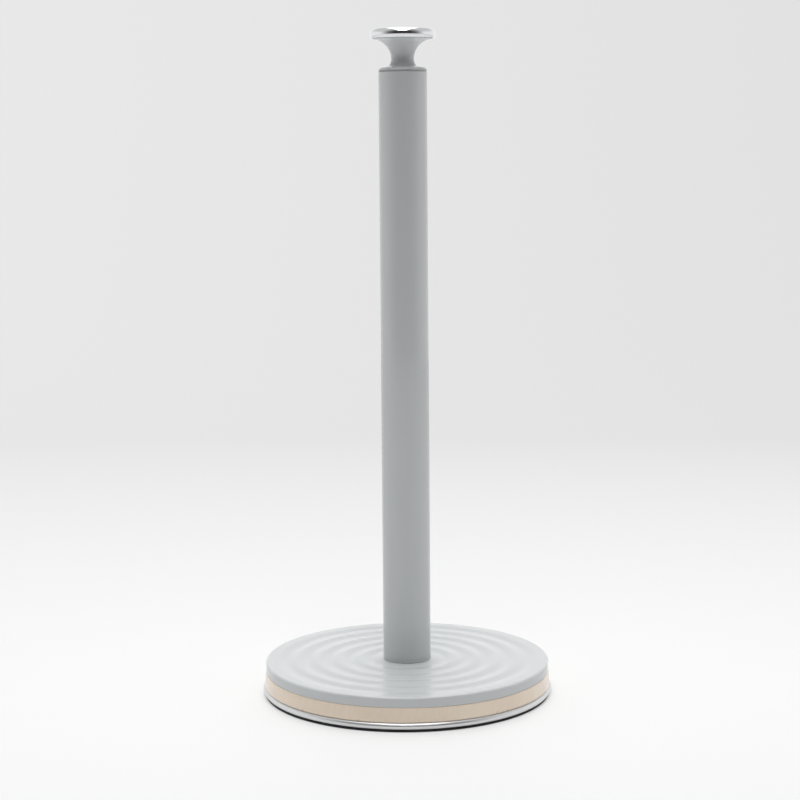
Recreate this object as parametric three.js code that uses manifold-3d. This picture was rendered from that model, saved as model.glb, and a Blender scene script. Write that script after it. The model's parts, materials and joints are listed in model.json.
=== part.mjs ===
// Paper towel holder: a weighted round base with a rippled cover and a wooden band, a painted tube to
// carry the roll, and a painted knob with a chromed cap that unscrews from the top of the tube.
// Millimetres, +Z up. The origin is on the floor, under the middle of the base.

import * as THREE from 'three';
import { mergeVertices } from 'three/addons/utils/BufferGeometryUtils.js';
import Module from 'manifold-3d';

const wasm = await Module();
wasm.setup();

// Clearances
const FACE_GAP = 0.1; // between two faces that are stacked on each other
const SIDE_GAP = 0.3; // around a piece that sits inside another

// Base: mat, pan, band and cover, from the floor up
const MAT_R = 77.9;
const MAT_THICKNESS = 1.2;
const MAT_HOLE_R = 13;
const PAN_R = 79; // the widest point of the holder
const PAN_SHEET = 1;
const PAN_HOLE_R = 12;
const BEAD_R = 1.85; // rolled rim of the pan
const BAND_FOOT_R = 78.3;
const BAND_TOP_R = 77.55;
const BAND_HEIGHT = 7.6;
const SPIGOT_HEIGHT = 1.9; // the band's rebated edge, hidden inside the cover's skirt
const COVER_R = 77.5;
const COVER_HEIGHT = 5.4;
const COVER_SHEET = 0.8;
const SHOULDER_R = 1.2;

// Ripples pressed into the cover: rings of equal pitch between the rim and the land under the tube
const RIPPLE_COUNT = 5;
const RIPPLE_PITCH = 11.6;
const RIPPLE_DEPTH = 0.6;
const LAND_R = 13.8; // flat land that the tube stands on
const STEPS_PER_RIPPLE = 4;

// Ballast
const BALLAST_R = 74;
const BALLAST_HEIGHT = 9.5;
const BALLAST_EDGE = 1.2;
const BOSS_FOOT_R = 22;
const BOSS_TOP_R = 13.4;
const RECESS_R = 10.5; // room for the bolt head and its washers
const RECESS_HEIGHT = 8.3;

// M8 bolt that holds the tube down
const BOLT_R = 4;
const BOLT_LENGTH = 25;
const BOLT_HEAD_HEIGHT = 5.3;
const BOLT_HEAD_R = 7.5; // across the corners of a 13 mm hexagon
const FLAT_WASHER_R = 8;
const FLAT_WASHER_THICKNESS = 1.5;
const SPRING_WASHER_R = 6.9;
const SPRING_WASHER_THICKNESS = 1.6;
const SPRING_WASHER_SPLIT = 1;
const SPRING_WASHER_RISE = 35; // slope of the split, in degrees from upright

// M4 countersunk screws that hold the pan to the ballast
const SCREW_COUNT = 4;
const SCREW_CIRCLE_R = 50;
const SCREW_R = 2;
const SCREW_HEAD_R = 3.8;
const SCREW_HEAD_HEIGHT = 1.8;
const SCREW_LENGTH = 8.5;
const DIMPLE_HEIGHT = 2.4; // the pan's sheet, drawn up round each screw head

// Tube and the threaded plugs in its ends
const TUBE_R = 13;
const TUBE_WALL = 1;
const TUBE_TOP = 336.1;
const PLUG_FLANGE = 1.6; // painted ring under the foot of the tube
const BOTTOM_PLUG_HEIGHT = 18;
const TOP_PLUG_HEIGHT = 18;

// Knob, its M6 stud and the washer under it
const WASHER_R = 12.7;
const WASHER_THICKNESS = 0.6;
const STUD_R = 3;
const STUD_LENGTH = 23;
const STUD_IN_TUBE = 12; // length of thread that holds the knob: twelve turns of 1 mm pitch
const FLANGE_R = 13.05;
const FLANGE_EDGE = 1.1;
const FLANGE_SLOPE = 0.22;
const NECK_R = 6.1;
const NECK_HEIGHT = 6; // narrowest place, above the flange's underside
const NECK_FOOT_R = 5.6; // hollow between the flange and the neck
const NECK_FOOT_SWEEP = 41;
const FLARE_R = 9.9; // hollow between the neck and the rim
const RIM_R = 2.9; // rounded edge, shared by the knob and the cap on it
const RIM_CENTRE_R = 14.45;
const KNOB_HEIGHT = 22.5; // with its cap
const CAP_JOINT = 47; // where the knob ends on the rounded edge, in degrees below its widest point
const CAP_SPIGOT_R = 6;
const CAP_SPIGOT_LENGTH = 3;

// Heights of the stack, each from the one below it
const PAN_Z = MAT_THICKNESS + FACE_GAP;
const BEAD_TOP = 2 * BEAD_R;
const BAND_Z = PAN_Z + BEAD_TOP + FACE_GAP;
const COVER_Z = BAND_Z + BAND_HEIGHT + FACE_GAP;
const COVER_TOP = COVER_Z + COVER_HEIGHT;
const BALLAST_Z = PAN_Z + PAN_SHEET + FACE_GAP;
const BOSS_HEIGHT = COVER_TOP - COVER_SHEET - FACE_GAP - BALLAST_Z;
const FLAT_WASHER_Z = BALLAST_Z + RECESS_HEIGHT - FACE_GAP - FLAT_WASHER_THICKNESS;
const SPRING_WASHER_Z = FLAT_WASHER_Z - FACE_GAP - SPRING_WASHER_THICKNESS;
const BOLT_Z = SPRING_WASHER_Z - FACE_GAP; // underside of the bolt head, where its shank starts
const BOTTOM_PLUG_Z = COVER_TOP + FACE_GAP;
const TUBE_Z = BOTTOM_PLUG_Z + PLUG_FLANGE + FACE_GAP;
const TOP_PLUG_Z = TUBE_TOP - FACE_GAP - TOP_PLUG_HEIGHT;
const WASHER_Z = TUBE_TOP + FACE_GAP;
const KNOB_Z = WASHER_Z + WASHER_THICKNESS + FACE_GAP;
const STUD_Z = TUBE_TOP - FACE_GAP - STUD_IN_TUBE;

// Facets round each size of piece
const WIDE_SIDES = 60;
const TUBE_SIDES = 40;
const KNOB_SIDES = 36;
const SMALL_SIDES = 20;
const HEX_SIDES = 6;

// Materials
const greyPaint = new THREE.MeshStandardMaterial({ color: 0x9da1a3, roughness: 0.22, metalness: 0 });
const chrome = new THREE.MeshStandardMaterial({ color: 0xdfe1e3, roughness: 0.07, metalness: 1 });
const castIron = new THREE.MeshStandardMaterial({ color: 0x3c3d3f, roughness: 0.8, metalness: 0.6 });
const zincSteel = new THREE.MeshStandardMaterial({ color: 0xb9bbb6, roughness: 0.4, metalness: 1 });
const blackRubber = new THREE.MeshStandardMaterial({ color: 0x1b1b1c, roughness: 0.85, metalness: 0 });
const lightWood = new THREE.MeshStandardMaterial({ color: 0xcdbba3, roughness: 0.35, metalness: 0 });
const greyNylon = new THREE.MeshStandardMaterial({ color: 0x5a5d5f, roughness: 0.55, metalness: 0 });

const radians = THREE.MathUtils.degToRad;

// Points of an arc in the profile plane, both ends included. Angles are in degrees from outwards to up.
function arc(centreR, centreZ, radius, from, to, steps) {
  const points = [];
  for (let i = 0; i <= steps; i++) {
    const angle = radians(from + ((to - from) * i) / steps);
    points.push([centreR + radius * Math.cos(angle), centreZ + radius * Math.sin(angle)]);
  }
  return points;
}

// Solid of revolution about Z. The profile is [radius, height] pairs, anticlockwise with outwards to
// the right, and either starts and ends on the axis or is closed here.
function turned(profile, sides) {
  const onAxis = profile[0][0] === 0;
  const outline = onAxis ? profile : [...profile, profile[0]];
  const points = outline.map(([r, z]) => new THREE.Vector2(r, z));
  return new THREE.LatheGeometry(points, sides).rotateX(Math.PI / 2);
}

// Ring or disc with straight walls, from height 0 up
function ring(innerR, outerR, height, sides) {
  return turned([[innerR, 0], [outerR, 0], [outerR, height], [innerR, height]], sides);
}

// Cone or cylinder standing on height z
function frustum(bottomR, topR, z, height, sides) {
  return turned([[0, z], [bottomR, z], [topR, z + height], [0, z + height]], sides);
}

// A closed geometry as a solid that can be cut and joined
function solid(geometry) {
  const bare = geometry.clone();
  bare.deleteAttribute('normal');
  bare.deleteAttribute('uv');
  const merged = mergeVertices(bare, 1e-4);
  const vertProperties = merged.getAttribute('position').array;
  const triVerts = new Uint32Array(merged.index.array);
  return new wasm.Manifold(new wasm.Mesh({ numProp: 3, vertProperties, triVerts }));
}

function geometryOf(cutSolid) {
  const mesh = cutSolid.getMesh();
  const geometry = new THREE.BufferGeometry();
  geometry.setAttribute('position', new THREE.BufferAttribute(mesh.vertProperties, 3));
  geometry.setIndex(new THREE.BufferAttribute(mesh.triVerts, 1));
  geometry.computeVertexNormals();
  return geometry;
}

function piece(name, geometry, material, z) {
  const mesh = new THREE.Mesh(geometry, material);
  mesh.name = name;
  mesh.position.z = z;
  return mesh;
}

// Places of the countersunk screws
function screwPlaces() {
  const places = [];
  for (let i = 0; i < SCREW_COUNT; i++) {
    const angle = ((i + 0.5) * 2 * Math.PI) / SCREW_COUNT;
    places.push([SCREW_CIRCLE_R * Math.cos(angle), SCREW_CIRCLE_R * Math.sin(angle)]);
  }
  return places;
}

// A copy of one shape at each screw
function atScrews(shape) {
  return screwPlaces().map(([x, y]) => solid(shape.clone().translate(x, y, 0)));
}

// Cutter for a countersunk hole that opens on height 0. It starts a little lower, on the same cone.
function sunkHole(mouthR, holeR, sinkDepth, depth) {
  const start = 0.5;
  const startR = mouthR + (start * (mouthR - holeR)) / sinkDepth;
  const profile = [
    [0, -start],
    [startR, -start],
    [holeR, sinkDepth],
    [holeR, depth],
    [0, depth],
  ];
  return turned(profile, SMALL_SIDES);
}

// Die-cut rubber sheet with a hole to reach the bolt
function antiSlipMat() {
  const edge = 0.3;
  const profile = [
    [MAT_HOLE_R, 0],
    [MAT_R - edge, 0],
    [MAT_R, edge],
    [MAT_R, MAT_THICKNESS],
    [MAT_HOLE_R, MAT_THICKNESS],
  ];
  return piece('anti_slip_mat', turned(profile, WIDE_SIDES), blackRubber, 0);
}

// Pressed pan with a rolled rim, dimpled where the countersunk screws go through
function basePan() {
  const beadR = PAN_R - BEAD_R;
  const rimWidth = 1.1;
  const profile = [
    [PAN_HOLE_R, 0],
    ...arc(beadR, BEAD_R, BEAD_R, -90, 90, 6),
    [beadR - rimWidth, BEAD_TOP],
    [beadR - rimWidth, PAN_SHEET],
    [PAN_HOLE_R, PAN_SHEET],
  ];
  const dimpleR = SCREW_HEAD_R + PAN_SHEET;
  const dimple = frustum(dimpleR, SCREW_R + PAN_SHEET, PAN_SHEET / 2, DIMPLE_HEIGHT, SMALL_SIDES);
  const hole = sunkHole(SCREW_HEAD_R + SIDE_GAP, SCREW_R + SIDE_GAP, SCREW_HEAD_HEIGHT, 2 * DIMPLE_HEIGHT);
  let pan = solid(turned(profile, WIDE_SIDES));
  atScrews(dimple).forEach((shape) => (pan = pan.add(shape)));
  atScrews(hole).forEach((shape) => (pan = pan.subtract(shape)));
  return piece('base_pan', geometryOf(pan), chrome, PAN_Z);
}

// Turned wooden ring that stands on the pan's rim, slightly tapered, with a rebate for the cover's skirt
function trimBand() {
  const footEdge = 0.3;
  const innerR = BALLAST_R + SIDE_GAP;
  const spigotR = COVER_R - COVER_SHEET - SIDE_GAP;
  const profile = [
    [innerR, 0],
    [BAND_FOOT_R - footEdge, 0],
    [BAND_FOOT_R, footEdge],
    [BAND_TOP_R, BAND_HEIGHT],
    [spigotR, BAND_HEIGHT],
    [spigotR, BAND_HEIGHT + SPIGOT_HEIGHT],
    [innerR, BAND_HEIGHT + SPIGOT_HEIGHT],
  ];
  return piece('trim_band', turned(profile, WIDE_SIDES), lightWood, BAND_Z);
}

// Height of the cover's outer face at radius r, from its flat land and crests down
function rippleDrop(r) {
  const turns = (r - LAND_R) / RIPPLE_PITCH;
  return (RIPPLE_DEPTH / 2) * (1 - Math.cos(2 * Math.PI * turns));
}

// Rippled sheet steel cover with a short skirt
function baseCover() {
  const outer = [[COVER_R, 0], ...arc(COVER_R - SHOULDER_R, COVER_HEIGHT - SHOULDER_R, SHOULDER_R, 0, 90, 4)];
  const innerShoulder = SHOULDER_R - COVER_SHEET;
  const inner = [
    ...arc(COVER_R - SHOULDER_R, COVER_HEIGHT - SHOULDER_R, innerShoulder, 90, 0, 3),
    [COVER_R - COVER_SHEET, 0],
  ];
  const rippleSteps = RIPPLE_COUNT * STEPS_PER_RIPPLE;
  const top = [];
  for (let i = rippleSteps; i >= 0; i--) {
    const r = LAND_R + (i * RIPPLE_PITCH) / STEPS_PER_RIPPLE;
    top.push([r, COVER_HEIGHT - rippleDrop(r)]);
  }
  const holeR = BOLT_R + SIDE_GAP;
  const underside = top.map(([r, z]) => [r, z - COVER_SHEET]).reverse();
  const profile = [
    ...outer,
    ...top,
    [holeR, COVER_HEIGHT],
    [holeR, COVER_HEIGHT - COVER_SHEET],
    ...underside,
    ...inner,
  ];
  return piece('base_cover', turned(profile, WIDE_SIDES), greyPaint, COVER_Z);
}

// Cast disc with a boss up to the cover, a recess for the bolt head and tapped holes for the screws
function ballastDisc() {
  const profile = [
    [RECESS_R, 0],
    [BALLAST_R - BALLAST_EDGE, 0],
    [BALLAST_R, BALLAST_EDGE],
    [BALLAST_R, BALLAST_HEIGHT - BALLAST_EDGE],
    [BALLAST_R - BALLAST_EDGE, BALLAST_HEIGHT],
    [BOSS_FOOT_R, BALLAST_HEIGHT],
    [BOSS_TOP_R, BOSS_HEIGHT],
    [BOLT_R + SIDE_GAP, BOSS_HEIGHT],
    [BOLT_R + SIDE_GAP, RECESS_HEIGHT],
    [RECESS_R, RECESS_HEIGHT],
  ];
  const sinkR = SCREW_HEAD_R + PAN_SHEET + SIDE_GAP;
  const hole = sunkHole(sinkR, SCREW_R + SIDE_GAP, DIMPLE_HEIGHT, SCREW_LENGTH - 1);
  let disc = solid(turned(profile, WIDE_SIDES));
  atScrews(hole).forEach((shape) => (disc = disc.subtract(shape)));
  return piece('ballast_disc', geometryOf(disc), castIron, BALLAST_Z);
}

// One countersunk screw, head down, with its origin at the flat of its head
function plateScrew(index, [x, y]) {
  const profile = [
    [0, 0],
    [SCREW_HEAD_R, 0],
    [SCREW_R, SCREW_HEAD_HEIGHT],
    [SCREW_R, SCREW_LENGTH - 0.5],
    [SCREW_R - 0.5, SCREW_LENGTH],
    [0, SCREW_LENGTH],
  ];
  const screw = piece('plate_screw_' + (index + 1), turned(profile, SMALL_SIDES), zincSteel, PAN_Z);
  screw.position.x = x;
  screw.position.y = y;
  return screw;
}

// Hexagon bolt, head down
function centreBolt() {
  const shankProfile = [
    [0, -0.5],
    [BOLT_R, -0.5],
    [BOLT_R, BOLT_LENGTH - 1],
    [BOLT_R - 1, BOLT_LENGTH],
    [0, BOLT_LENGTH],
  ];
  const head = solid(frustum(BOLT_HEAD_R, BOLT_HEAD_R, -BOLT_HEAD_HEIGHT, BOLT_HEAD_HEIGHT, HEX_SIDES));
  const shank = solid(turned(shankProfile, SMALL_SIDES));
  return piece('centre_bolt', geometryOf(head.add(shank)), zincSteel, BOLT_Z);
}

function boltFlatWasher() {
  const geometry = ring(BOLT_R + SIDE_GAP, FLAT_WASHER_R, FLAT_WASHER_THICKNESS, SMALL_SIDES);
  return piece('bolt_flat_washer', geometry, zincSteel, FLAT_WASHER_Z);
}

// Split ring, cut through on a slant
function boltSpringWasher() {
  const innerR = BOLT_R + SIDE_GAP;
  const width = SPRING_WASHER_R - innerR;
  const whole = solid(ring(innerR, SPRING_WASHER_R, SPRING_WASHER_THICKNESS, SMALL_SIDES));
  const split = new THREE.BoxGeometry(width + 2, SPRING_WASHER_SPLIT, 4 * SPRING_WASHER_THICKNESS);
  split.rotateX(radians(SPRING_WASHER_RISE));
  split.translate((innerR + SPRING_WASHER_R) / 2, 0, SPRING_WASHER_THICKNESS / 2);
  const cut = whole.subtract(solid(split));
  return piece('bolt_spring_washer', geometryOf(cut), zincSteel, SPRING_WASHER_Z);
}

// Threaded plug in the foot of the tube, with a ring that the tube stands on
function bottomPlug() {
  const bodyR = TUBE_R - TUBE_WALL - SIDE_GAP;
  const holeR = BOLT_R + SIDE_GAP;
  const profile = [
    [holeR, 0],
    [TUBE_R, 0],
    [TUBE_R, PLUG_FLANGE],
    [bodyR, PLUG_FLANGE],
    [bodyR, BOTTOM_PLUG_HEIGHT - 1],
    [bodyR - 1, BOTTOM_PLUG_HEIGHT],
    [holeR, BOTTOM_PLUG_HEIGHT],
  ];
  return piece('bottom_plug', turned(profile, TUBE_SIDES), greyPaint, BOTTOM_PLUG_Z);
}

function postTube() {
  const geometry = ring(TUBE_R - TUBE_WALL, TUBE_R, TUBE_TOP - TUBE_Z, TUBE_SIDES);
  return piece('post_tube', geometry, greyPaint, TUBE_Z);
}

// Threaded plug in the top of the tube, which takes the knob's stud
function topPlug() {
  const bodyR = TUBE_R - TUBE_WALL - SIDE_GAP;
  const holeR = STUD_R + SIDE_GAP;
  const profile = [
    [holeR, 0],
    [bodyR - 1, 0],
    [bodyR, 1],
    [bodyR, TOP_PLUG_HEIGHT],
    [holeR, TOP_PLUG_HEIGHT],
  ];
  return piece('top_plug', turned(profile, TUBE_SIDES), zincSteel, TOP_PLUG_Z);
}

function knobWasher() {
  const geometry = ring(STUD_R + SIDE_GAP, WASHER_R, WASHER_THICKNESS, TUBE_SIDES);
  return piece('knob_washer', geometry, greyNylon, WASHER_Z);
}

// Set screw fixed in the knob
function knobStud() {
  const point = 0.6;
  const profile = [
    [0, 0],
    [STUD_R - point, 0],
    [STUD_R, point],
    [STUD_R, STUD_LENGTH],
    [0, STUD_LENGTH],
  ];
  return piece('knob_stud', turned(profile, SMALL_SIDES), zincSteel, STUD_Z);
}

// The rounded edge that the knob and its cap share: height of its centre above the knob's underside,
// the angle below its widest point where the flare runs into it, and where the knob gives way to the cap
function rim() {
  const reach = FLARE_R + RIM_R;
  const lean = Math.acos((NECK_R + FLARE_R - RIM_CENTRE_R) / reach);
  const centreZ = NECK_HEIGHT + reach * Math.sin(lean);
  const seatZ = centreZ - RIM_R * Math.sin(radians(CAP_JOINT));
  return { centreZ, seatZ, start: -THREE.MathUtils.radToDeg(lean) };
}

// Turned knob: flange, hollow neck and flare, with a blind hole below and a seat for the cap on top
function finialKnob() {
  const { centreZ, seatZ, start } = rim();
  const boreR = STUD_R + SIDE_GAP;
  const boreDepth = STUD_Z + STUD_LENGTH + SIDE_GAP - KNOB_Z;
  const seatR = CAP_SPIGOT_R + SIDE_GAP;
  const seatFloor = seatZ - CAP_SPIGOT_LENGTH - SIDE_GAP;
  const edge = 0.25;
  const neckFoot = arc(NECK_R + NECK_FOOT_R, NECK_HEIGHT, NECK_FOOT_R, 180 + NECK_FOOT_SWEEP, 180, 4);
  const coneR = FLANGE_R - edge;
  const coneTop = FLANGE_EDGE + (coneR - neckFoot[0][0]) * FLANGE_SLOPE;
  const profile = [
    [0, boreDepth],
    [boreR, boreDepth],
    [boreR, 0],
    [FLANGE_R - edge, 0],
    [FLANGE_R, edge],
    [FLANGE_R, FLANGE_EDGE - edge],
    [coneR, FLANGE_EDGE],
    [neckFoot[0][0], Math.min(coneTop, neckFoot[0][1])],
    ...neckFoot.slice(1),
    ...arc(NECK_R + FLARE_R, NECK_HEIGHT, FLARE_R, 180, 180 + start, 7).slice(1),
    ...arc(RIM_CENTRE_R, centreZ, RIM_R, start, -CAP_JOINT, 3).slice(1),
    [seatR, seatZ],
    [seatR, seatFloor],
    [0, seatFloor],
  ];
  return piece('finial_knob', turned(profile, KNOB_SIDES), greyPaint, KNOB_Z);
}

// Slightly domed cap with the upper part of the rounded edge, and a spigot that presses into the knob
function knobCap() {
  const { centreZ, seatZ } = rim();
  const capZ = seatZ + FACE_GAP;
  const edgeZ = centreZ - capZ;
  const top = KNOB_HEIGHT - capZ;
  const start = -THREE.MathUtils.radToDeg(Math.asin(edgeZ / RIM_R));
  const rise = top - edgeZ;
  const domeR = (RIM_CENTRE_R ** 2 + rise ** 2 - RIM_R ** 2) / (2 * (rise - RIM_R));
  const domeSweep = THREE.MathUtils.radToDeg(Math.asin(RIM_CENTRE_R / (domeR - RIM_R)));
  const profile = [
    [0, -CAP_SPIGOT_LENGTH],
    [CAP_SPIGOT_R, -CAP_SPIGOT_LENGTH],
    [CAP_SPIGOT_R, 0],
    ...arc(RIM_CENTRE_R, edgeZ, RIM_R, start, 90 - domeSweep, 7),
    ...arc(0, top - domeR, domeR, 90 - domeSweep, 90, 2).slice(1, -1),
    [0, top],
  ];
  return piece('knob_cap', turned(profile, KNOB_SIDES), chrome, KNOB_Z + capZ);
}

function holder() {
  const base = new THREE.Group();
  base.add(antiSlipMat(), basePan(), trimBand(), baseCover(), ballastDisc());
  screwPlaces().forEach((place, index) => base.add(plateScrew(index, place)));
  base.add(centreBolt(), boltFlatWasher(), boltSpringWasher());

  const post = new THREE.Group();
  post.add(bottomPlug(), postTube(), topPlug());

  const knob = new THREE.Group();
  knob.add(knobWasher(), knobStud(), finialKnob(), knobCap());

  const assembly = new THREE.Group();
  assembly.add(base, post, knob);
  return assembly;
}

export default holder();
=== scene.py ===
"""Paper towel holder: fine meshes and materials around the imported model."""

import json
import math

import bmesh
import bpy
from mathutils import Matrix, Vector


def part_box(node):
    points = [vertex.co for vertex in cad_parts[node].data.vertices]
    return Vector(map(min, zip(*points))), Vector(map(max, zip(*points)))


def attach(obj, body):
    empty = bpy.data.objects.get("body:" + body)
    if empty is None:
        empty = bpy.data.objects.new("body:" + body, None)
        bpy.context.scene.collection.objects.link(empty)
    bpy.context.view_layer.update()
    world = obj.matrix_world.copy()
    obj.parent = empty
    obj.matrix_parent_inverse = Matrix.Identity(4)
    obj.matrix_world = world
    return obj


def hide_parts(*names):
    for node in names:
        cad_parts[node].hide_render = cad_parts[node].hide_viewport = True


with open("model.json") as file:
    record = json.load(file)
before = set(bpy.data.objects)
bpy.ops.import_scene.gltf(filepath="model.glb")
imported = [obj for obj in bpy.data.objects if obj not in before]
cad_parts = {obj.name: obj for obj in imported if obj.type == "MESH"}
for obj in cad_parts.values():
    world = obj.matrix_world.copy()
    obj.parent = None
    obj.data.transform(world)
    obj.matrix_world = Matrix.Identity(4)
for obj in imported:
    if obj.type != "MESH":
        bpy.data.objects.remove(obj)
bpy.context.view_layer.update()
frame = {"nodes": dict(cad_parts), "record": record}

MM = 0.001
WIDE_SIDES = 288
TUBE_SIDES = 160
SMALL_SIDES = 64
STUD_SIDES = 48
BOLT_SIDES = 72  # a multiple of six, so that rows meet the hexagon's corners
STAGE_SIDES = 96
SHARP_ANGLE = math.radians(32)

# Sizes that several pieces share, in mm
ROOM = 0.3  # around a piece that sits inside another
BOLT_R = 4
BOLT_PITCH = 1.25
STUD_R = 3
STUD_PITCH = 1
TUBE_WALL = 1

# ------------------------------------------------------------------ camera and studio

LENS_MM = 86.7
CAMERA_DISTANCE = 1.0318
CAMERA_HEIGHT = 0.3017
CAMERA_PITCH = math.radians(7.755)
CAMERA_ROLL = math.radians(-0.46)
CAMERA_YAW = math.radians(-0.155)

FLOOR_RADIUS = 1.6
FLOOR_ALBEDO = 0.835
FLOOR_GLOW = 0.905  # even part of the floor's light, which keeps the shadows soft
FLOOR_GLOW_SHARE = 0.42
BACKDROP_TONE = 0.785
BACKDROP_SHADE_SLOPE = -0.038  # painted shade: change of the glow for each metre to the right
POOL_INNER = 0.05  # the floor fades from lit to the backdrop's tone between these distances
POOL_OUTER = 0.9
POOL_SHAPE = (0.6, 1, 1)  # wider than it is deep


def make_camera():
    pitch, yaw, roll = CAMERA_PITCH, CAMERA_YAW, CAMERA_ROLL
    forward = Vector((math.sin(yaw) * math.cos(pitch), math.cos(yaw) * math.cos(pitch), -math.sin(pitch)))
    level = Vector((math.cos(yaw), -math.sin(yaw), 0))
    upright = level.cross(forward)
    right = math.cos(roll) * level + math.sin(roll) * upright
    up = math.cos(roll) * upright - math.sin(roll) * level
    data = bpy.data.cameras.new("camera")
    data.lens = LENS_MM
    camera = bpy.data.objects.new("camera", data)
    bpy.context.scene.collection.objects.link(camera)
    turn = Matrix((right, up, -forward)).transposed().to_4x4()
    camera.matrix_world = Matrix.Translation((0, -CAMERA_DISTANCE, CAMERA_HEIGHT)) @ turn
    bpy.context.scene.camera = camera


# ------------------------------------------------------------------ shader node helpers


class Shader:
    """Short ways to add and link shader nodes in one tree."""

    def __init__(self, tree):
        self.tree = tree
        tree.nodes.clear()

    def node(self, kind, inputs=None, **settings):
        node = self.tree.nodes.new(kind)
        for key, value in settings.items():
            setattr(node, key, value)
        for key, value in (inputs or {}).items():
            self.feed(node.inputs[key], value)
        return node

    def feed(self, socket, value):
        if isinstance(value, bpy.types.NodeSocket):
            self.tree.links.new(value, socket)
        else:
            socket.default_value = value

    def math(self, operation, a, b=0.0, c=0.0):
        node = self.node("ShaderNodeMath", operation=operation)
        for socket, value in zip(node.inputs, (a, b, c)):
            self.feed(socket, value)
        return node.outputs[0]

    def ramp(self, value, low, high, start=0.0, end=1.0):
        """start below low, end above high, and a smooth change between."""
        inputs = {"Value": value, "From Min": low, "From Max": high, "To Min": start, "To Max": end}
        node = self.node("ShaderNodeMapRange", inputs, interpolation_type="SMOOTHSTEP")
        return node.outputs[0]

    def mix(self, factor, a, b):
        node = self.node("ShaderNodeMix", data_type="RGBA")
        self.feed(node.inputs["Factor"], factor)
        self.feed(node.inputs[6], a)
        self.feed(node.inputs[7], b)
        return node.outputs[2]

    def noise(self, vector, scale, detail=2.0, roughness=0.5):
        inputs = {"Vector": vector, "Scale": scale, "Detail": detail, "Roughness": roughness}
        return self.node("ShaderNodeTexNoise", inputs).outputs["Fac"]

    def stretched(self, vector, scale):
        node = self.node("ShaderNodeMapping", {"Vector": vector, "Scale": scale})
        return node.outputs[0]


def rgb(r, g, b):
    return (r, g, b, 1.0)


# ------------------------------------------------------------------ mesh helpers


def arc(centre_r, centre_z, radius, start, end, steps):
    """Points on an arc in the profile plane; angles in degrees from outwards towards up."""
    points = []
    for i in range(steps + 1):
        angle = math.radians(start + (end - start) * i / steps)
        points.append((centre_r + radius * math.cos(angle), centre_z + radius * math.sin(angle)))
    return points


def rounded(corners, steps=5):
    """A closed profile from (r, z, radius) corners, with each corner rounded."""
    outline = []
    count = len(corners)
    for i, (r, z, radius) in enumerate(corners):
        here = Vector((r, z))
        if radius == 0:
            outline.append((r, z))
            continue
        before = (Vector(corners[i - 1][:2]) - here).normalized()
        after = (Vector(corners[(i + 1) % count][:2]) - here).normalized()
        half = before.angle(after) / 2
        middle = here + (before + after).normalized() * radius / math.sin(half)
        first = here + before * radius / math.tan(half) - middle
        last = here + after * radius / math.tan(half) - middle
        sweep = first.angle_signed(last)
        for k in range(steps + 1):
            spoke = Matrix.Rotation(-sweep * k / steps, 2) @ first
            outline.append(tuple(middle + spoke))
    return outline


def braced(profile):
    """Adds a point near each end of a long straight run, so that rounded corners next to it do not
    bend the shading of the whole run."""
    closed = profile[0][0] > 1e-6
    count = len(profile)
    points = []
    for i, start in enumerate(profile):
        points.append(start)
        if i == count - 1 and not closed:
            break
        end = profile[(i + 1) % count]
        length = math.dist(start, end)
        before = math.dist(profile[i - 1], start) if closed or i > 0 else length
        after = math.dist(end, profile[(i + 2) % count]) if closed or i < count - 2 else length
        for share, neighbour in ((before / length, before), (1 - after / length, after)):
            if neighbour < length / 5:
                points.append(tuple(a + (b - a) * share for a, b in zip(start, end)))
    return points


def linked(name, vertices, faces):
    """A smooth object in the scene, with its edges sharp where two faces meet at a clear angle."""
    mesh = bpy.data.meshes.new(name)
    mesh.from_pydata(vertices, [], faces)
    mesh.validate()
    mesh.polygons.foreach_set("use_smooth", [True] * len(mesh.polygons))
    mesh.set_sharp_from_angle(angle=SHARP_ANGLE)
    obj = bpy.data.objects.new(name, mesh)
    bpy.context.scene.collection.objects.link(obj)
    return obj


def revolve(name, profile, sides, reshape=None):
    """A solid of revolution from (r, z) points in mm, anticlockwise with outwards to the right.
    The profile starts and ends on the axis, or is a closed loop. reshape(r, z, angle) moves points."""
    profile = braced(profile)
    vertices = []
    rings = []
    for r, z in profile:
        start = len(vertices)
        if r < 1e-6:
            vertices.append((0, 0, z * MM))
            rings.append([start] * sides)
            continue
        for i in range(sides):
            angle = 2 * math.pi * i / sides
            new_r, new_z = reshape(r, z, angle) if reshape else (r, z)
            vertices.append((new_r * MM * math.cos(angle), new_r * MM * math.sin(angle), new_z * MM))
        rings.append(list(range(start, start + sides)))
    if profile[0][0] > 1e-6:
        rings.append(rings[0])
    faces = []
    for lower, upper in zip(rings, rings[1:]):
        for i in range(sides):
            j = (i + 1) % sides
            corners = (lower[i], lower[j], upper[j], upper[i])
            face = tuple(dict.fromkeys(corners))
            if len(face) > 2:
                faces.append(face)
    return linked(name, vertices, faces)


def stand_in(obj, node, material):
    """Gives a piece its material, and its place in the assembly: it rides where the CAD node does."""
    obj.data.materials.clear()
    obj.data.materials.append(material)
    body = next(name for name, nodes in frame["record"]["behaviour"]["bodies"].items() if node in nodes)
    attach(obj, body)
    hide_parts(node)


def span(node):
    """Outer radius, lowest and highest point of a CAD node, in mm."""
    low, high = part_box(node)
    return high.x / MM, low.z / MM, high.z / MM


# ------------------------------------------------------------------ materials


def principled(name, build):
    """A Principled material; build(shader, position) returns the inputs to set."""
    material = bpy.data.materials.new(name)
    material.use_nodes = True
    shader = Shader(material.node_tree)
    position = shader.node("ShaderNodeTexCoord").outputs["Object"]
    surface = shader.node("ShaderNodeBsdfPrincipled", build(shader, position))
    output = shader.node("ShaderNodeOutputMaterial")
    shader.tree.links.new(surface.outputs[0], output.inputs["Surface"])
    return material


def bump(shader, height, strength, distance):
    inputs = {"Height": height, "Strength": strength, "Distance": distance}
    return shader.node("ShaderNodeBump", inputs).outputs[0]


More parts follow.
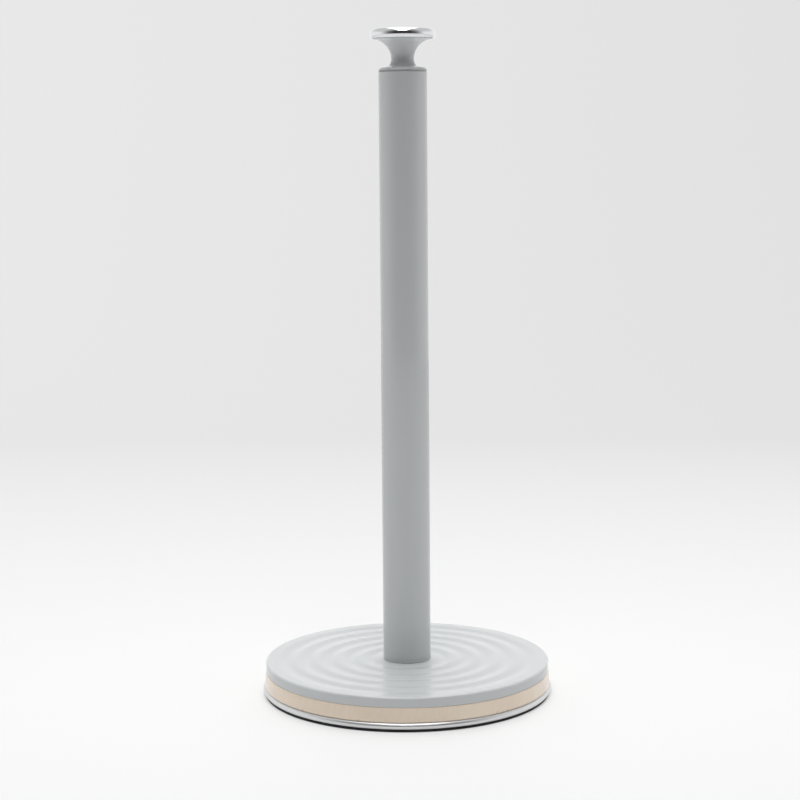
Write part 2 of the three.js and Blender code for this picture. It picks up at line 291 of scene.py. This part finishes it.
def grey_paint(shader, position):
    """Gloss enamel: a faint orange peel, and tone and gloss that drift a little."""
    drift = shader.noise(position, 14, 3)
    tone = shader.mix(drift, rgb(0.525, 0.543, 0.552), rgb(0.553, 0.570, 0.578))
    peel = shader.noise(position, 900, 2)
    gloss = shader.ramp(shader.noise(position, 60, 4), 0.3, 0.7, 0.075, 0.12)
    return {
        "Base Color": tone,
        "Roughness": gloss,
        "IOR": 1.5,
        "Normal": bump(shader, peel, 0.05, 0.0001),
    }


def polished_chrome(shader, position):
    """Bright plate: very fine turning lines, and a slight haze in places."""
    axes = shader.node("ShaderNodeSeparateXYZ", {"Vector": position})
    x, y, z = axes.outputs
    square = shader.math("ADD", shader.math("MULTIPLY", x, x), shader.math("MULTIPLY", y, y))
    radius = shader.math("SQRT", square)
    ring = shader.node("ShaderNodeCombineXYZ", {"X": radius, "Z": z}).outputs[0]
    lines = shader.noise(ring, 2600, 1)
    haze = shader.noise(position, 45, 4)
    tone = shader.mix(haze, rgb(0.73, 0.74, 0.75), rgb(0.78, 0.787, 0.795))
    return {
        "Base Color": tone,
        "Metallic": 1.0,
        "Roughness": shader.ramp(haze, 0.3, 0.75, 0.045, 0.085),
        "Normal": bump(shader, lines, 0.02, 0.00002),
    }


def satin_chrome(shader, position):
    """The same plate over a rolled edge, which leaves it less sharp."""
    inputs = polished_chrome(shader, position)
    wear = shader.noise(position, 45, 4)
    inputs["Base Color"] = shader.mix(wear, rgb(0.67, 0.675, 0.68), rgb(0.73, 0.735, 0.74))
    inputs["Roughness"] = shader.ramp(wear, 0.3, 0.75, 0.34, 0.41)
    return inputs


def cast_iron(shader, position):
    """Rough casting: coarse grain, and rust brown in places."""
    grain = shader.noise(position, 700, 6, 0.65)
    blotch = shader.noise(position, 60, 3)
    tone = shader.mix(blotch, rgb(0.035, 0.035, 0.038), rgb(0.085, 0.078, 0.072))
    return {
        "Base Color": tone,
        "Metallic": 0.6,
        "Roughness": shader.ramp(grain, 0.3, 0.7, 0.65, 0.85),
        "Normal": bump(shader, grain, 0.6, 0.0004),
    }


def light_wood(shader, position):
    """Pale veneer under clear lacquer: short upright grain, a slow figure, and a few brown nicks
    along the foot."""
    grain = shader.noise(shader.stretched(position, (1, 1, 0.10)), 1300, 4, 0.6)
    pores = shader.noise(shader.stretched(position, (1, 1, 0.25)), 3600, 2)
    figure = shader.noise(shader.stretched(position, (1, 1, 0.6)), 38, 3)
    tone = shader.mix(shader.ramp(grain, 0.32, 0.68), rgb(0.745, 0.617, 0.487), rgb(0.785, 0.66, 0.53))
    tone = shader.mix(shader.ramp(figure, 0.42, 0.72, 0.0, 0.55), tone, rgb(0.83, 0.725, 0.60))
    tone = shader.mix(shader.ramp(pores, 0.60, 0.74, 0.0, 0.12), tone, rgb(0.56, 0.44, 0.33))
    height = shader.node("ShaderNodeSeparateXYZ", {"Vector": position}).outputs["Z"]
    foot = shader.ramp(height, 0.0052, 0.0066, 0.7, 0.0)
    nicks = shader.ramp(shader.noise(shader.stretched(position, (1, 1, 0.4)), 900, 3), 0.56, 0.68)
    patches = shader.ramp(shader.noise(position, 45, 2), 0.42, 0.6)
    nicks = shader.math("MULTIPLY", nicks, patches)
    tone = shader.mix(shader.math("MULTIPLY", foot, nicks), tone, rgb(0.42, 0.28, 0.18))
    return {
        "Base Color": tone,
        "Roughness": 0.3,
        "IOR": 1.5,
        "Coat Weight": 0.6,
        "Coat Roughness": 0.12,
        "Normal": bump(shader, grain, 0.06, 0.00005),
    }


def zinc_plate(shader, position):
    """Zinc over steel: a faint spangle, brighter and duller by turns."""
    spangle = shader.node("ShaderNodeTexVoronoi", {"Vector": position, "Scale": 420}).outputs["Distance"]
    fine = shader.noise(position, 2400, 2)
    tone = shader.mix(spangle, rgb(0.58, 0.59, 0.57), rgb(0.74, 0.75, 0.71))
    return {
        "Base Color": tone,
        "Metallic": 1.0,
        "Roughness": shader.ramp(spangle, 0.0, 0.8, 0.26, 0.42),
        "Normal": bump(shader, fine, 0.15, 0.00004),
    }


def black_rubber(shader, position):
    """Fine pebbled sheet with some dust on it."""
    pebble = shader.node("ShaderNodeTexVoronoi", {"Vector": position, "Scale": 1500}).outputs["Distance"]
    dust = shader.noise(position, 130, 5)
    tone = shader.mix(shader.ramp(dust, 0.45, 0.8), rgb(0.012, 0.012, 0.013), rgb(0.032, 0.031, 0.030))
    return {
        "Base Color": tone,
        "Roughness": shader.ramp(pebble, 0.0, 0.6, 0.72, 0.9),
        "Normal": bump(shader, pebble, 0.5, 0.00015),
    }


def grey_nylon(shader, position):
    """Moulded nylon with a fine spark texture."""
    fine = shader.noise(position, 1800, 3)
    drift = shader.noise(position, 160, 2)
    tone = shader.mix(drift, rgb(0.44, 0.45, 0.455), rgb(0.49, 0.50, 0.505))
    return {
        "Base Color": tone,
        "Roughness": shader.ramp(fine, 0.3, 0.7, 0.45, 0.6),
        "Normal": bump(shader, fine, 0.2, 0.00005),
    }


PAINT = principled("grey_paint", grey_paint)
CHROME = principled("polished_chrome", polished_chrome)
SATIN = principled("satin_chrome", satin_chrome)
WOOD = principled("light_wood", light_wood)
IRON = principled("cast_iron", cast_iron)
ZINC = principled("zinc_plate", zinc_plate)
RUBBER = principled("black_rubber", black_rubber)
NYLON = principled("grey_nylon", grey_nylon)

# ------------------------------------------------------------------ base

SHEET = 0.8
RIPPLE_COUNT = 5
RIPPLE_PITCH = 11.6
RIPPLE_DEPTH = 0.6
RIPPLE_STEPS = 24
LAND_R = 13.8
SHOULDER_R = 1.2


def ripple_drop(r):
    """How far the cover's face lies below its crests at radius r."""
    if not LAND_R < r < LAND_R + RIPPLE_COUNT * RIPPLE_PITCH:
        return 0.0
    return RIPPLE_DEPTH / 2 * (1 - math.cos(2 * math.pi * (r - LAND_R) / RIPPLE_PITCH))


def make_cover():
    outer_r, bottom, top = span("base_cover")
    bolt_hole_r = BOLT_R + ROOM
    lip = 0.25
    shoulder = arc(outer_r - SHOULDER_R, top - SHOULDER_R, SHOULDER_R, 0, 90, 14)
    steps = RIPPLE_COUNT * RIPPLE_STEPS
    face = [LAND_R + RIPPLE_PITCH * i / RIPPLE_STEPS for i in range(steps, -1, -1)]
    rows = [(r, top - ripple_drop(r)) for r in face]
    under = [(r, z - SHEET) for r, z in reversed(rows)]
    inner_shoulder = arc(outer_r - SHOULDER_R, top - SHOULDER_R, SHOULDER_R - SHEET, 90, 0, 10)
    edge = arc(outer_r - lip, bottom + lip, lip, -90, 0, 5)
    hole = [(bolt_hole_r, top), (bolt_hole_r, top - SHEET)]
    profile = edge + shoulder + rows + hole + under + inner_shoulder + [(outer_r - SHEET, bottom)]
    stand_in(revolve("cover", profile, WIDE_SIDES), "base_cover", PAINT)


def make_band():
    foot_r, bottom, top = span("trim_band")
    top_r = 77.55
    inner_r = 74.3
    spigot_r = 76.4
    spigot_height = 1.9
    shoulder = top - spigot_height
    corners = [
        (inner_r, bottom, 0.2),
        (foot_r, bottom, 0.3),
        (top_r, shoulder, 0.25),
        (spigot_r, shoulder, 0.15),
        (spigot_r, top, 0.3),
        (inner_r, top, 0.3),
    ]
    stand_in(revolve("band", rounded(corners), WIDE_SIDES), "trim_band", WOOD)


def make_pan():
    outer_r, bottom, _ = span("base_pan")
    bead_r = 1.85
    sheet = 1
    hole_r = 12
    rim_width = 1.1
    centre_r = outer_r - bead_r
    bead = arc(centre_r, bottom + bead_r, bead_r, -90, 90, 24)
    bead_top = bottom + 2 * bead_r
    inside = [
        (centre_r - rim_width, bead_top),
        (centre_r - rim_width, bottom + sheet),
        (hole_r, bottom + sheet),
    ]
    profile = [(hole_r, bottom)] + bead + inside
    stand_in(revolve("pan", profile, WIDE_SIDES), "base_pan", SATIN)


def make_mat():
    outer_r, bottom, top = span("anti_slip_mat")
    hole_r = 13
    corners = [
        (hole_r, bottom, 0.2),
        (outer_r, bottom, 0.35),
        (outer_r, top, 0.2),
        (hole_r, top, 0.2),
    ]
    stand_in(revolve("mat", rounded(corners), WIDE_SIDES), "anti_slip_mat", RUBBER)


# ------------------------------------------------------------------ post


def make_tube():
    outer_r, bottom, top = span("post_tube")
    inner_r = outer_r - TUBE_WALL
    corners = [
        (inner_r, bottom, 0.15),
        (outer_r, bottom, 0.15),
        (outer_r, top, 0.2),
        (inner_r, top, 0.15),
    ]
    stand_in(revolve("tube", rounded(corners), TUBE_SIDES), "post_tube", PAINT)


def make_foot_plug():
    outer_r, bottom, top = span("bottom_plug")
    flange = 1.6
    body_r = outer_r - TUBE_WALL - ROOM
    hole_r = BOLT_R + ROOM
    corners = [
        (hole_r, bottom, 0.3),
        (outer_r, bottom, 0.2),
        (outer_r, bottom + flange, 0.15),
        (body_r, bottom + flange, 0),
        (body_r, top, 0.8),
        (hole_r, top, 0.4),
    ]
    stand_in(revolve("foot_plug", rounded(corners), TUBE_SIDES), "bottom_plug", PAINT)


# ------------------------------------------------------------------ knob

RIM_R = 2.9
RIM_CENTRE_R = 14.45
NECK_R = 6.1
NECK_HEIGHT = 6
FLARE_R = 9.9
NECK_FOOT_R = 5.6
NECK_FOOT_SWEEP = 41


def make_knob():
    """The painted knob and its bright cap, which share one rounded edge."""
    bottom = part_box("finial_knob")[0].z / MM
    cap_low, cap_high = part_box("knob_cap")
    top = cap_high.z / MM
    flange_r = 13.05
    flange_slope = [(0, 0.3), (0.1, 0.48), (0.85, 1.18), (1.1, 1.32), (1.5, 1.4)]  # inset and height
    bore_r = STUD_R + ROOM
    bore_depth = 10.3
    spigot_r = 6
    seat_r = spigot_r + ROOM
    seat_depth = 3.3
    cap_joint = 47  # degrees below level on the rounded edge
    below_joint, above_joint = 4, 5  # degrees of that edge that the groove between them takes
    gap = 0.02
    edge = 0.12
    flare_centre = NECK_R + FLARE_R
    lean = math.acos((flare_centre - RIM_CENTRE_R) / (FLARE_R + RIM_R))
    rim_z = bottom + NECK_HEIGHT + (FLARE_R + RIM_R) * math.sin(lean)
    lean = math.degrees(lean)
    neck_z = bottom + NECK_HEIGHT
    seat = rim_z - RIM_R * math.sin(math.radians(cap_joint))

    body = [(0, bottom + bore_depth), (bore_r, bottom + bore_depth), (bore_r, bottom)]
    body += arc(flange_r - edge, bottom + edge, edge, -90, 0, 5)
    body += [(flange_r - inset, bottom + height) for inset, height in flange_slope]
    body += arc(NECK_R + NECK_FOOT_R, neck_z, NECK_FOOT_R, 180 + NECK_FOOT_SWEEP, 180, 16)
    body += arc(flare_centre, neck_z, FLARE_R, 180, 180 - lean, 28)[1:]
    body += arc(RIM_CENTRE_R, rim_z, RIM_R, -lean, -cap_joint - below_joint, 8)[1:]
    lip_r = body[-1][0]
    body += [(lip_r - 0.05, seat - 0.01), (lip_r - 0.15, seat)]
    body += [(seat_r, seat), (seat_r, seat - seat_depth), (0, seat - seat_depth)]
    stand_in(revolve("knob", body, TUBE_SIDES), "finial_knob", PAINT)

    foot = seat + gap
    start = math.degrees(math.asin((rim_z - foot) / RIM_R))
    rise = top - rim_z
    dome_r = (RIM_CENTRE_R**2 + rise**2 - RIM_R**2) / (2 * (rise - RIM_R))
    dome = math.degrees(math.asin(RIM_CENTRE_R / (dome_r - RIM_R)))
    spigot_foot = cap_low.z / MM
    cap = [(0, spigot_foot), (spigot_r - edge, spigot_foot), (spigot_r, spigot_foot + edge), (spigot_r, foot)]
    rim = arc(RIM_CENTRE_R, rim_z, RIM_R, above_joint - start, 90 - dome, 32)
    cap += [(rim[0][0] - 0.15, foot), (rim[0][0] - 0.05, foot + 0.02)] + rim
    cap += arc(0, top - dome_r, dome_r, 90 - dome, 90, 24)[1:-1]
    cap += [(0, top)]
    stand_in(revolve("cap", cap, TUBE_SIDES), "knob_cap", CHROME)


def make_washer():
    outer_r, bottom, top = span("knob_washer")
    hole_r = STUD_R + ROOM
    corners = [
        (hole_r, bottom, 0.1),
        (outer_r, bottom, 0.08),
        (outer_r, top, 0.08),
        (hole_r, top, 0.1),
    ]
    stand_in(revolve("washer", rounded(corners), TUBE_SIDES), "knob_washer", NYLON)


# ------------------------------------------------------------------ fasteners


THREAD_DEPTH = 0.55  # of the pitch


def thread(major_r, pitch, low, high):
    """Reshapes a shank of radius major_r into a right-hand thread that runs out at both ends."""

    def reshape(r, z, angle):
        if r < major_r - 1e-4 or not low <= z <= high:
            return r, z
        phase = (z / pitch - angle / (2 * math.pi)) % 1
        run_out = min(1, (z - low) / pitch, (high - z) / pitch)
        return r - THREAD_DEPTH * pitch * (1 - abs(2 * phase - 1)) * run_out, z

    return reshape


def shank(r, low, high, pitch):
    """Rows of a shank, eight to a turn of its thread."""
    steps = math.ceil(8 * (high - low) / pitch)
    return [(r, low + (high - low) * i / steps) for i in range(steps + 1)]


def make_stud():
    low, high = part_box("knob_stud")
    bottom, top = low.z / MM, high.z / MM
    point = 0.6
    chamfer = 0.3
    first, last = bottom + point, top - chamfer
    rows = shank(STUD_R, first, last, STUD_PITCH)
    profile = [(0, bottom), (STUD_R - point, bottom)] + rows + [(STUD_R - chamfer, top), (0, top)]
    obj = revolve("stud", profile, STUD_SIDES, thread(STUD_R, STUD_PITCH, first, last))
    stand_in(obj, "knob_stud", ZINC)


def make_top_plug():
    outer_r, bottom, top = span("top_plug")
    hole_r = STUD_R + ROOM
    countersink = 0.7
    chamfer = 1
    corners = [
        (hole_r, bottom, 0.3),
        (outer_r - chamfer, bottom, 0.2),
        (outer_r, bottom + chamfer, 0.2),
        (outer_r, top, 0.3),
        (hole_r + countersink, top, 0.05),
        (hole_r, top - countersink, 0.05),
    ]
    stand_in(revolve("plug", rounded(corners), TUBE_SIDES), "top_plug", ZINC)


def make_bolt():
    """Hexagon bolt, head down: the head's chamfer cuts its corners to the usual arcs."""
    low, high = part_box("centre_bolt")
    bottom, top = low.z / MM, high.z / MM
    head_height = 5.3
    flat_r = 6.495
    corner_r = 7.5
    plain_length = 4
    point = 0.9
    fillet = 0.2
    seat = bottom + head_height
    slope = math.tan(math.radians(30))
    step = 0.15
    foot_r, foot_z = flat_r - 0.1, bottom + 0.25
    chamfer = [(foot_r + i * step, foot_z + i * step * slope) for i in range(8)]
    first, last = seat + plain_length, top - point
    rows = shank(BOLT_R, first, last, BOLT_PITCH)
    profile = [(0, bottom), (flat_r - 0.5, bottom)] + chamfer + [(corner_r, seat)]
    profile += [(BOLT_R + fillet, seat), (BOLT_R, seat + fillet)] + rows
    profile += [(BOLT_R - point, top), (0, top)]
    cut = thread(BOLT_R, BOLT_PITCH, first, last)

    def reshape(r, z, angle):
        if z > seat:
            return cut(r, z, angle)
        from_flat = (angle + math.pi / 6) % (math.pi / 3) - math.pi / 6
        return min(r, flat_r / math.cos(from_flat)), z

    stand_in(revolve("bolt", profile, BOLT_SIDES, reshape), "centre_bolt", ZINC)


def make_flat_washer():
    outer_r, bottom, top = span("bolt_flat_washer")
    hole_r = BOLT_R + ROOM
    corners = [
        (hole_r, bottom, 0.1),
        (outer_r, bottom, 0.35),
        (outer_r, top, 0.15),
        (hole_r, top, 0.1),
    ]
    stand_in(revolve("flat_washer", rounded(corners), SMALL_SIDES), "bolt_flat_washer", ZINC)


def make_spring_washer():
    """A ring cut through on a slant."""
    low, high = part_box("bolt_spring_washer")
    bottom, top = low.z / MM, high.z / MM
    inner_r = BOLT_R + ROOM
    outer_r = 6.9
    edge = 0.15
    corners = [
        (inner_r, bottom, edge),
        (outer_r, bottom, edge),
        (outer_r, top, edge),
        (inner_r, top, edge),
    ]
    section = rounded(corners, 3)
    middle = (bottom + top) / 2
    slant = math.tan(math.radians(35))
    half_gap = 0.61
    steps = 64
    vertices = []
    for k in range(steps + 1):
        for r, z in section:
            start = half_gap / r
            angle = start + (2 * math.pi - 2 * start) * k / steps - slant * (z - middle) / r
            vertices.append((r * MM * math.cos(angle), r * MM * math.sin(angle), z * MM))
    count = len(section)
    faces = [tuple(reversed(range(count))), tuple(range(steps * count, (steps + 1) * count))]
    for k in range(steps):
        near, far = k * count, (k + 1) * count
        for i in range(count):
            j = (i + 1) % count
            faces.append((near + i, near + j, far + j, far + i))
    washer = linked("spring_washer", vertices, faces)
    solid = bmesh.new()
    solid.from_mesh(washer.data)
    bmesh.ops.recalc_face_normals(solid, faces=solid.faces)
    solid.to_mesh(washer.data)
    solid.free()
    stand_in(washer, "bolt_spring_washer", ZINC)


# ------------------------------------------------------------------ studio


def stage_object(mesh_object, material):
    mesh_object.data.materials.append(material)


def backdrop_glow(shader, position):
    """The backdrop's glow, with painted shade that makes it a little darker to the right."""
    x = shader.node("ShaderNodeSeparateXYZ", {"Vector": position}).outputs["X"]
    # painted shade: the glow is dimmed towards the right
    tone = shader.math("MULTIPLY_ADD", x, BACKDROP_SHADE_SLOPE, BACKDROP_TONE)
    return shader.node("ShaderNodeEmission", {"Color": rgb(1, 1, 1), "Strength": tone})


def floor_material():
    """White paper that fades with distance to the backdrop's glow, so no horizon shows; that glow carries
    painted shade, darker to the right.
    """
    material = bpy.data.materials.new("floor")
    material.use_nodes = True
    shader = Shader(material.node_tree)
    position = shader.node("ShaderNodeTexCoord").outputs["Object"]
    oval = shader.stretched(position, POOL_SHAPE)
    distance = shader.node("ShaderNodeVectorMath", {0: oval}, operation="LENGTH").outputs["Value"]
    albedo = rgb(FLOOR_ALBEDO, FLOOR_ALBEDO, FLOOR_ALBEDO)
    matt = shader.node("ShaderNodeBsdfDiffuse", {"Color": albedo})
    even = shader.node("ShaderNodeEmission", {"Color": rgb(1, 1, 1), "Strength": FLOOR_GLOW})
    paper = shader.node("ShaderNodeMixShader", {"Fac": FLOOR_GLOW_SHARE})
    shader.tree.links.new(matt.outputs[0], paper.inputs[1])
    shader.tree.links.new(even.outputs[0], paper.inputs[2])
    glow = backdrop_glow(shader, position)
    reach = {"Value": distance, "From Min": POOL_INNER, "From Max": POOL_OUTER}
    fade = shader.node("ShaderNodeMapRange", reach)
    blend = shader.node("ShaderNodeMixShader", {"Fac": fade.outputs[0]})
    shader.tree.links.new(paper.outputs[0], blend.inputs[1])
    shader.tree.links.new(glow.outputs[0], blend.inputs[2])
    output = shader.node("ShaderNodeOutputMaterial")
    shader.tree.links.new(blend.outputs[0], output.inputs["Surface"])
    return material


def backdrop_material():
    material = bpy.data.materials.new("backdrop")
    material.use_nodes = True
    shader = Shader(material.node_tree)
    glow = backdrop_glow(shader, shader.node("ShaderNodeTexCoord").outputs["Object"])
    output = shader.node("ShaderNodeOutputMaterial")
    shader.tree.links.new(glow.outputs[0], output.inputs["Surface"])
    return material


def make_floor():
    radius = FLOOR_RADIUS / MM
    depth = 20
    profile = [(0, -depth), (radius, -depth), (radius, 0), (0, 0)]
    floor = revolve("floor", profile, STAGE_SIDES)
    stage_object(floor, floor_material())


def make_backdrop():
    radius = FLOOR_RADIUS / MM - 1
    curve = 900
    foot, top = -1, 3500
    outer_r = radius + curve + 10
    inner = [(radius, foot)] + arc(radius, curve, curve, -90, 0, 16) + [(radius + curve, top)]
    outer = [(outer_r, top), (outer_r, foot)]
    backdrop = revolve("backdrop", [*reversed(inner), *reversed(outer)], STAGE_SIDES)
    stage_object(backdrop, backdrop_material())
    backdrop.visible_diffuse = False
    backdrop.visible_glossy = False
    backdrop.visible_transmission = False
    backdrop.visible_shadow = False


# Light from the room by direction: pale walls, a wide lamp overhead, and a dark place in front.
# A pair is where a change starts and ends, as Y or Z of a direction of length one.
LIGHT_FRONT = 0.13
LIGHT_BACK = 1.25
FRONT_TO_BACK = (-0.8, 0.0)
LIGHT_HIGH = 0.68  # share of the walls' light that is left towards the ceiling
WALL_TO_CEILING = (0.15, 0.65)
LIGHT_DARK = 0.05
DARK_SIDE = (-0.88, -0.80)  # Y of the direction once it is laid level, where -1 is the front
DARK_FOOT = (-0.10, -0.04)
DARK_TOP = (0.50, 0.55)
LIGHT_LAMP = 4.65
LAMP_HALF_WIDTH = 0.28  # this and the next four are measured on a ceiling one unit up
LAMP_FRONT = -0.90
LAMP_BACK = 1.00
LAMP_EDGE = 0.06  # its sides and front fade over twice this
LAMP_BACK_EDGE = 0.1
LAMP_HORIZON = (0.02, 0.05)


def make_world():
    world = bpy.data.worlds.new("studio")
    bpy.context.scene.world = world
    world.use_nodes = True
    shader = Shader(world.node_tree)
    direction = shader.node("ShaderNodeTexCoord").outputs["Generated"]
    x, y, z = shader.node("ShaderNodeSeparateXYZ", {"Vector": direction}).outputs
    light = shader.ramp(y, *FRONT_TO_BACK, LIGHT_FRONT, LIGHT_BACK)
    light = shader.math("MULTIPLY", light, shader.ramp(z, *WALL_TO_CEILING, 1.0, LIGHT_HIGH))

    level = shader.math("SQRT", shader.math("SUBTRACT", 1.0, shader.math("MULTIPLY", z, z)))
    facing = shader.math("DIVIDE", y, shader.math("MAXIMUM", level, 0.001))
    dark = shader.ramp(facing, *DARK_SIDE, 1.0, 0.0)
    dark = shader.math("MULTIPLY", dark, shader.ramp(z, *DARK_FOOT))
    dark = shader.math("MULTIPLY", dark, shader.ramp(z, *DARK_TOP, 1.0, 0.0))
    light = shader.math("MULTIPLY_ADD", dark, shader.math("SUBTRACT", LIGHT_DARK, light), light)

    height = shader.math("MAXIMUM", z, 0.001)
    across = shader.math("ABSOLUTE", shader.math("DIVIDE", x, height))
    along = shader.math("DIVIDE", y, height)
    lamp = shader.ramp(across, LAMP_HALF_WIDTH - LAMP_EDGE, LAMP_HALF_WIDTH + LAMP_EDGE, 1.0, 0.0)
    front = shader.ramp(along, LAMP_FRONT - LAMP_EDGE, LAMP_FRONT + LAMP_EDGE)
    lamp = shader.math("MULTIPLY", lamp, front)
    back = shader.ramp(along, LAMP_BACK - LAMP_BACK_EDGE, LAMP_BACK + LAMP_BACK_EDGE, 1.0, 0.0)
    lamp = shader.math("MULTIPLY", lamp, back)
    lamp = shader.math("MULTIPLY", lamp, shader.ramp(z, *LAMP_HORIZON))
    light = shader.math("MULTIPLY_ADD", lamp, shader.math("SUBTRACT", LIGHT_LAMP, light), light)

    glow = shader.node("ShaderNodeBackground", {"Strength": light})
    output = shader.node("ShaderNodeOutputWorld")
    shader.tree.links.new(glow.outputs[0], output.inputs["Surface"])


def set_view():
    settings = bpy.context.scene.view_settings
    settings.view_transform = "Standard"
    settings.look = "None"


make_camera()
make_floor()
make_backdrop()
make_world()
set_view()

make_cover()
make_band()
make_pan()
make_mat()
make_tube()
make_foot_plug()
make_knob()
make_washer()
make_stud()
make_top_plug()
make_bolt()
make_flat_washer()
make_spring_washer()

# The ballast and its screws are hidden, and keep their CAD shape
for node_name, node_object in frame["nodes"].items():
    if node_object.hide_render:
        continue
    node_object.data.materials.clear()
    node_object.data.materials.append(IRON if node_name == "ballast_disc" else ZINC)
